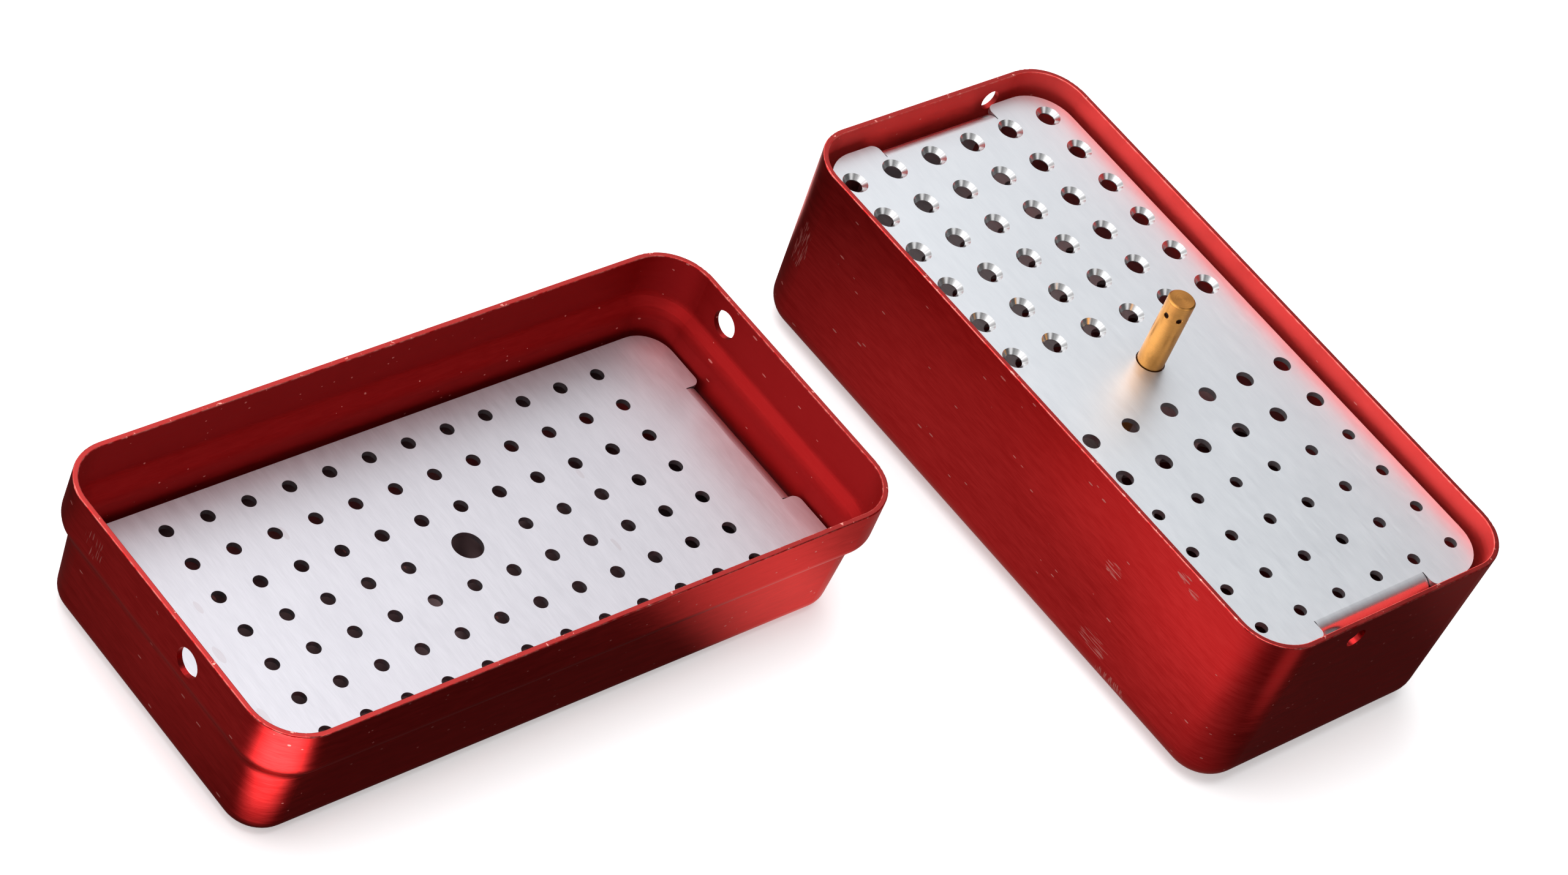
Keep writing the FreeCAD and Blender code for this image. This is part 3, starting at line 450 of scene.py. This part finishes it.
# Near-black brown painted into the dimples as painted shade.
dimple_shade = (0.030, 0.012, 0.005, 1.0)
lathe_step = 0.00012
lathe_relief = 0.00003
tarnish_scale = (260.0, 260.0, 160.0)
end_rounding = 0.0002
end_flatness = 0.00005
# Painted shade darkens the post from these depths below its top downwards.
foot_shade_from = 0.0090
foot_shade_to = 0.0155
dimples_from = 0.0015
dimples_to = 0.0100
dimple_lip = 0.00003
dimple_dark = 0.00012

material, tree, shader, where = start("post_turned_brass")
place = split(tree, where)
squares = [calc(tree, "MULTIPLY", place[axis], place[axis]) for axis in "XY"]
radius = calc(tree, "SQRT", calc(tree, "ADD", *squares))
on_end = fade(tree, place["Z"], post_top - end_rounding, post_top - end_flatness)
travel = mix(tree, on_end, place["Z"], radius, kind="Float")
travel_point = put(tree, "ShaderNodeCombineXYZ", {"X": travel}).outputs[0]
rings = grain(tree, travel_point, unturned, (1.0 / lathe_step, 1.0, 1.0), 3.0)
cloud = grain(tree, where, unturned, tarnish_scale, 4.0)
colour = mix(tree, fade(tree, rings, 0.3, 0.7), brass, pale_brass)
colour = mix(tree, fade(tree, cloud, 0.50, 0.80, 0.0, 0.45), colour, tarnish_and_shade)
# The flat end face is painted darker: painted shade.
colour = mix(tree, calc(tree, "MULTIPLY", on_end, 0.60), colour, tarnish_and_shade)
# Painted shade darkens the post towards its foot.
foot_shade = fade(tree, place["Z"], post_top - foot_shade_to, post_top - foot_shade_from, 0.35, 0.0)
colour = mix(tree, foot_shade, colour, tarnish_and_shade)
in_dimple = fade(tree, radius, post_radius - dimple_dark, post_radius - dimple_lip, 1.0, 0.0)
below_edge = calc(tree, "LESS_THAN", place["Z"], post_top - dimples_from)
above_foot = calc(tree, "GREATER_THAN", place["Z"], post_top - dimples_to)
in_dimple = calc(tree, "MULTIPLY", in_dimple, calc(tree, "MULTIPLY", below_edge, above_foot))
# The dimples are painted near-black: painted shade in these recesses.
colour = mix(tree, in_dimple, colour, dimple_shade)
rough = fade(tree, rings, 0.3, 0.7, 0.22, 0.30)
rough = calc(tree, "MULTIPLY_ADD", cloud, 0.08, rough)
surface(tree, shader, colour, rough, (rings, 0.15, lathe_relief))
tangent = put(tree, "ShaderNodeTangent", direction_type="RADIAL", axis="Z")
tree.links.new(tangent.outputs[0], shader.inputs["Tangent"])
shader.inputs["Anisotropic"].default_value = 0.55
dress("lifting_post", material)

# The washer and nut under the guide plate are plated steel, stamped and cold
# formed, with a dull zinc bloom.
zinc = (0.62, 0.63, 0.64, 1.0)
dull_zinc = (0.46, 0.46, 0.45, 1.0)
bloom_scale = (900.0, 900.0, 900.0)
bloom_relief = 0.00003

material, tree, shader, where = start("plated_steel")
bloom = grain(tree, where, unturned, bloom_scale, 4.0)
colour = mix(tree, fade(tree, bloom, 0.35, 0.7), dull_zinc, zinc)
rough = fade(tree, bloom, 0.3, 0.7, 0.30, 0.48)
surface(tree, shader, colour, rough, (bloom, 0.12, bloom_relief))
dress("post_washer", material)
dress("post_nut", material)

# The floor is a plain pale sheet of card, wide enough to fill the views from
# above. The metal reflects the softly lit room instead of it.
card_half = 4.0
card_drop = 0.0002
card_grey = (0.86, 0.86, 0.87, 1.0)
card_pale = (0.88, 0.88, 0.885, 1.0)
card_glow = 0.40
fibre_scale = (40.0, 40.0, 40.0)


def flat_sheet(name, half, height):
    """A square level sheet, centred under the boxes."""
    mesh = bpy.data.meshes.new(name)
    shaping = bmesh.new()
    level = Matrix.Translation((0.0, 0.0, height))
    bmesh.ops.create_grid(shaping, x_segments=1, y_segments=1, size=half, matrix=level)
    shaping.to_mesh(mesh)
    shaping.free()
    made = bpy.data.objects.new(name, mesh)
    bpy.context.scene.collection.objects.link(made)
    return made


card = flat_sheet("floor", card_half, -card_drop)
material, tree, shader, where = start("pale_card")
fibre = grain(tree, where, unturned, fibre_scale)
tree.links.new(mix(tree, fibre, card_grey, card_pale), shader.inputs["Base Color"])
shader.inputs["Roughness"].default_value = 0.9
shader.inputs["Specular IOR Level"].default_value = 0.0
shader.inputs["Emission Color"].default_value = (1.0, 1.0, 1.0, 1.0)
shader.inputs["Emission Strength"].default_value = card_glow
card.data.materials.append(material)
card.visible_glossy = False

# Under the card lies the tabletop as the metal mirrors it: dark, with soft
# brighter areas along the left of the base, off both its ends, and at the
# lid's left end and front corner.
bench_half = 0.6
bench_drop = card_drop * 3
bench_dark = 0.055
bench_glows = (
    ((-0.070, -0.040, 0.0), (0.026, 0.085, 1.0), 0.58),
    ((-0.046, -0.010, 0.0), (0.040, 0.105, 1.0), 0.33),
    ((-0.050, -0.044, 0.0), (0.020, 0.028, 1.0), 0.17),
    ((-0.014, -0.100, 0.0), (0.020, 0.024, 1.0), 0.42),
    ((0.075, -0.070, 0.0), (0.040, 0.060, 1.0), 0.10),
    ((-0.215, 0.035, 0.0), (0.045, 0.060, 1.0), 0.15),
    ((-0.204, -0.026, 0.0), (0.034, 0.034, 1.0), 4.50),
    ((0.008, 0.084, 0.0), (0.030, 0.020, 1.0), 2.60),
)

bench = flat_sheet("bench", bench_half, -bench_drop)
material = bpy.data.materials.new("lit_bench")
material.use_nodes = True
tree = material.node_tree
tree.nodes.clear()
where = put(tree, "ShaderNodeTexCoord").outputs["Object"]
glow = bench_dark
for centre, size, brightness in bench_glows:
    glow = calc(tree, "MULTIPLY_ADD", patch(tree, where, centre, size), brightness, glow)
light = put(tree, "ShaderNodeEmission", {"Strength": glow})
put(tree, "ShaderNodeOutputMaterial", {"Surface": light.outputs[0]})
bench.data.materials.append(material)
bench.visible_camera = False
bench.visible_diffuse = False
bench.visible_shadow = False
bench.visible_transmission = False

# The light is a soft room, brightest behind and to the left, with a small light
# off the near end and a darker right side, and one soft lamp stands overhead.
room_dark = 0.36
room_lights = (
    ((0.30, 0.75, 0.59), 0.825, 0.93, 1.78),
    ((-0.80, 0.35, 0.48), 0.60, 0.97, 1.30),
    ((0.19, -0.79, 0.58), 0.965, 0.99, 0.90),
    ((0.74, 0.12, 0.66), 0.90, 0.99, -0.10),
    ((0.68, -0.45, 0.58), 0.66, 0.95, -0.22),
)
lamp_size = 1.0
lamp_watts = 9.0
lamp_place = (-0.10, 0.10, 1.00)

room = bpy.data.worlds.new("room")
room.use_nodes = True
bpy.context.scene.world = room
tree = room.node_tree
tree.nodes.clear()
way = put(tree, "ShaderNodeTexCoord").outputs["Generated"]
glow = room_dark
for towards, edge, middle, brightness in room_lights:
    near = point_calc(tree, "DOT_PRODUCT", way, towards)["Value"]
    glow = calc(tree, "MULTIPLY_ADD", fade(tree, near, edge, middle), brightness, glow)
light = put(tree, "ShaderNodeBackground", {"Strength": glow})
put(tree, "ShaderNodeOutputWorld", {"Surface": light.outputs[0]})

lamp_data = bpy.data.lights.new("soft_lamp", "AREA")
lamp_data.shape = "DISK"
lamp_data.size = lamp_size
lamp_data.energy = lamp_watts
lamp = bpy.data.objects.new("soft_lamp", lamp_data)
bpy.context.scene.collection.objects.link(lamp)
lamp.location = lamp_place
lamp.rotation_mode = "QUATERNION"
lamp.rotation_quaternion = lamp.location.to_track_quat("Z", "Y")

# The camera stands where the photograph was taken, up and to the left of the
# near end, with the roll that the photograph has.
eye = Vector((-0.5879, -0.3274, 0.6000))
to_right = Vector((0.69656, -0.62712, 0.34860))
to_bottom = Vector((-0.27559, -0.68243, -0.67700))
ahead = Vector((0.66246, 0.37551, -0.64819))
focal_pixels = 8838.0
picture_width = 2560.0
picture_height = 1429.0
framed_x = 715.0
framed_y = 821.0
framing = 0.94
sensor_width = 36.0

aim = (
    ahead
    + to_right * ((framed_x - picture_width / 2) / focal_pixels)
    + to_bottom * ((framed_y - picture_height / 2) / focal_pixels)
).normalized()
right = (to_right - aim * to_right.dot(aim)).normalized()
up = right.cross(aim)
camera_data = bpy.data.cameras.new("camera")
camera_data.sensor_width = sensor_width
camera_data.lens = sensor_width * focal_pixels / picture_width * framing
camera_data.clip_start = 0.01
camera_data.clip_end = 20.0
camera = bpy.data.objects.new("camera", camera_data)
bpy.context.scene.collection.objects.link(camera)
turned = Matrix((right, up, -aim)).transposed().to_4x4()
camera.matrix_world = Matrix.Translation(eye) @ turned
bpy.context.scene.camera = camera
bpy.context.scene.view_settings.view_transform = "Standard"
